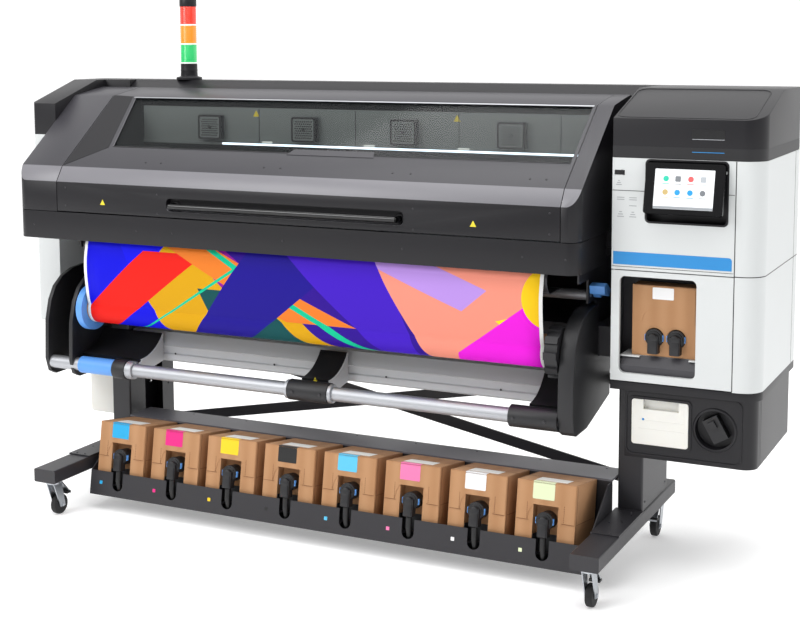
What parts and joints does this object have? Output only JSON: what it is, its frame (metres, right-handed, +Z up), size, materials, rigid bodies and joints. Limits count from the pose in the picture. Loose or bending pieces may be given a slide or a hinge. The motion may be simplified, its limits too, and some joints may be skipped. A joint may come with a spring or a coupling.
{
  "type": "wide format roll printer",
  "caption": "Free-standing wide roll-fed ink printer with windowed lid, ink cabinet, take-up roll and tray of ink cartons on a castered stand",
  "frame": {"origin": "middle of the footprint, on the floor", "axes": "+X along the print width towards the ink cabinet, +Y to the back, +Z up"},
  "size_m": [2.582, 0.852, 1.694],
  "materials": {
    "cover_white": "satin moulded ABS, cool white",
    "cover_black": "fine textured ABS, black",
    "lid_grey": "satin moulded ABS, charcoal",
    "steel_black": "powder coated folded steel, black",
    "steel_grey": "painted steel, light grey",
    "aluminium": "clear anodised extrusion",
    "steel_bright": "ground steel",
    "zinc": "zinc plated pressed steel",
    "glass": "tinted clear pane",
    "rubber": "moulded rubber",
    "blue_plastic": "moulded nylon, light blue",
    "plastic_black": "moulded nylon, black",
    "kraft": "plain kraft corrugated board",
    "hose": "smooth black hose",
    "paper": "coated printing paper",
    "screen": "black bezel and display",
    "bottle": "translucent white polyethylene",
    "lamp": "stacked lamp lenses"
  },
  "bodies": {
    "frame": {"foot_left": "steel_black", "foot_right": "steel_black", "foot_covers": "steel_black", "column_left": "steel_black", "column_right": "steel_black", "brace_front": "steel_black", "brace_rear": "steel_black", "ink_tray": "steel_black", "tray_shelf": "steel_black", "ink_cartons": "kraft", "ink_connectors": "plastic_black", "ink_hoses": "hose", "chassis": "steel_black", "platen": "steel_black", "print_sheet": "paper", "takeup_plate_left": "plastic_black", "takeup_plate_right": "plastic_black", "takeup_beam": "steel_grey", "takeup_brackets": "plastic_black", "front_bar": "aluminium", "bar_sleeve": "blue_plastic", "cheek_left": "cover_black", "cheek_right": "cover_black", "front_beam": "cover_black", "top_beam": "cover_black", "dryer_panel": "steel_black", "carriage_rail": "steel_bright", "left_body": "cover_white", "left_cap": "cover_black", "cabinet_body": "cover_white", "cabinet_front": "cover_white", "supply_carton": "kraft", "cabinet_cap": "cover_black", "lower_housing": "cover_black", "signal_tower": "lamp", "waste_bottle": "bottle"},
    "window_lid": {"window_lid": "lid_grey", "window_glass": "glass", "lid_handle": "steel_black"},
    "touch_screen": {"touch_screen": "screen"},
    "cabinet_door": {"cabinet_door": "cover_white"},
    "power_switch": {"power_switch": "plastic_black"},
    "waste_container": {"waste_container": "bottle"},
    "service_cassette": {"service_cassette": "plastic_black"},
    "print_carriage": {"print_carriage": "plastic_black"},
    "feed_roller": {"feed_roller": "aluminium"},
    "takeup_spindle": {"takeup_core": "kraft", "takeup_hub_left": "blue_plastic", "takeup_hub_right": "plastic_black"},
    "supply_spindle": {"supply_spindle": "steel_bright", "supply_roll": "paper"},
    "load_lever": {"load_lever": "blue_plastic"},
    "caster_fork_left_front": {"caster_fork_left_front": "zinc"},
    "caster_wheel_left_front": {"caster_wheel_left_front": "rubber"},
    "caster_fork_left_back": {"caster_fork_left_back": "zinc"},
    "caster_wheel_left_back": {"caster_wheel_left_back": "rubber"},
    "caster_fork_right_front": {"caster_fork_right_front": "zinc"},
    "caster_wheel_right_front": {"caster_wheel_right_front": "rubber"},
    "caster_fork_right_back": {"caster_fork_right_back": "zinc"},
    "caster_wheel_right_back": {"caster_wheel_right_back": "rubber"}
  },
  "joints": [
    {"name": "lid_hinge", "type": "hinge", "parent": "frame", "child": "window_lid", "pos_m": [0, 0.281, 1.364], "axis": [-1, 0, 0], "range_deg": [0, 50]},
    {"name": "screen_tilt", "type": "hinge", "parent": "frame", "child": "touch_screen", "pos_m": [1.0765, -0.064, 1.18], "axis": [-1, 0, 0], "range_deg": [-10, 12]},
    {"name": "door_hinge", "type": "hinge", "parent": "frame", "child": "cabinet_door", "pos_m": [0.87, -0.063, 0.7295], "axis": [0, 0, -1], "range_deg": [0, 100]},
    {"name": "switch_rocker", "type": "hinge", "parent": "frame", "child": "power_switch", "pos_m": [0.884, -0.064, 1.171], "axis": [0, 0, 1], "range_deg": [0, 10]},
    {"name": "waste_slide", "type": "slide", "parent": "frame", "child": "waste_container", "axis": [0, -1, 0], "range_m": [0, 0.2]},
    {"name": "cassette_slide", "type": "slide", "parent": "frame", "child": "service_cassette", "axis": [0, -1, 0], "range_m": [0, 0.1]},
    {"name": "carriage_slide", "type": "slide", "parent": "frame", "child": "print_carriage", "axis": [1, 0, 0], "range_m": [0, 1.48]},
    {"name": "feed_roller_spin", "type": "hinge", "parent": "frame", "child": "feed_roller", "pos_m": [0, 0.009, 0.796], "axis": [1, 0, 0], "continuous": true},
    {"name": "takeup_spin", "type": "hinge", "parent": "frame", "child": "takeup_spindle", "pos_m": [0, -0.121, 0.648], "axis": [1, 0, 0], "continuous": true},
    {"name": "supply_spin", "type": "hinge", "parent": "frame", "child": "supply_spindle", "pos_m": [0, 0.341, 0.49], "axis": [1, 0, 0], "continuous": true},
    {"name": "lever_hinge", "type": "hinge", "parent": "frame", "child": "load_lever", "pos_m": [0.789, 0.038, 0.8], "axis": [-1, 0, 0], "range_deg": [0, 60]},
    {"name": "swivel_left_front", "type": "hinge", "parent": "frame", "child": "caster_fork_left_front", "pos_m": [-0.9215, -0.381, 0.12], "axis": [0, 0, 1], "continuous": true},
    {"name": "wheel_left_front", "type": "hinge", "parent": "caster_fork_left_front", "child": "caster_wheel_left_front", "pos_m": [-0.9215, -0.357, 0.0325], "axis": [1, 0, 0], "continuous": true},
    {"name": "swivel_left_back", "type": "hinge", "parent": "frame", "child": "caster_fork_left_back", "pos_m": [-0.9215, 0.296, 0.12], "axis": [0, 0, 1], "continuous": true},
    {"name": "wheel_left_back", "type": "hinge", "parent": "caster_fork_left_back", "child": "caster_wheel_left_back", "pos_m": [-0.9215, 0.272, 0.0325], "axis": [1, 0, 0], "continuous": true},
    {"name": "swivel_right_front", "type": "hinge", "parent": "frame", "child": "caster_fork_right_front", "pos_m": [0.9096, -0.381, 0.12], "axis": [0, 0, 1], "continuous": true},
    {"name": "wheel_right_front", "type": "hinge", "parent": "caster_fork_right_front", "child": "caster_wheel_right_front", "pos_m": [0.9096, -0.357, 0.0325], "axis": [1, 0, 0], "continuous": true},
    {"name": "swivel_right_back", "type": "hinge", "parent": "frame", "child": "caster_fork_right_back", "pos_m": [0.9096, 0.296, 0.12], "axis": [0, 0, 1], "continuous": true},
    {"name": "wheel_right_back", "type": "hinge", "parent": "caster_fork_right_back", "child": "caster_wheel_right_back", "pos_m": [0.9096, 0.272, 0.0325], "axis": [1, 0, 0], "continuous": true}
  ]
}
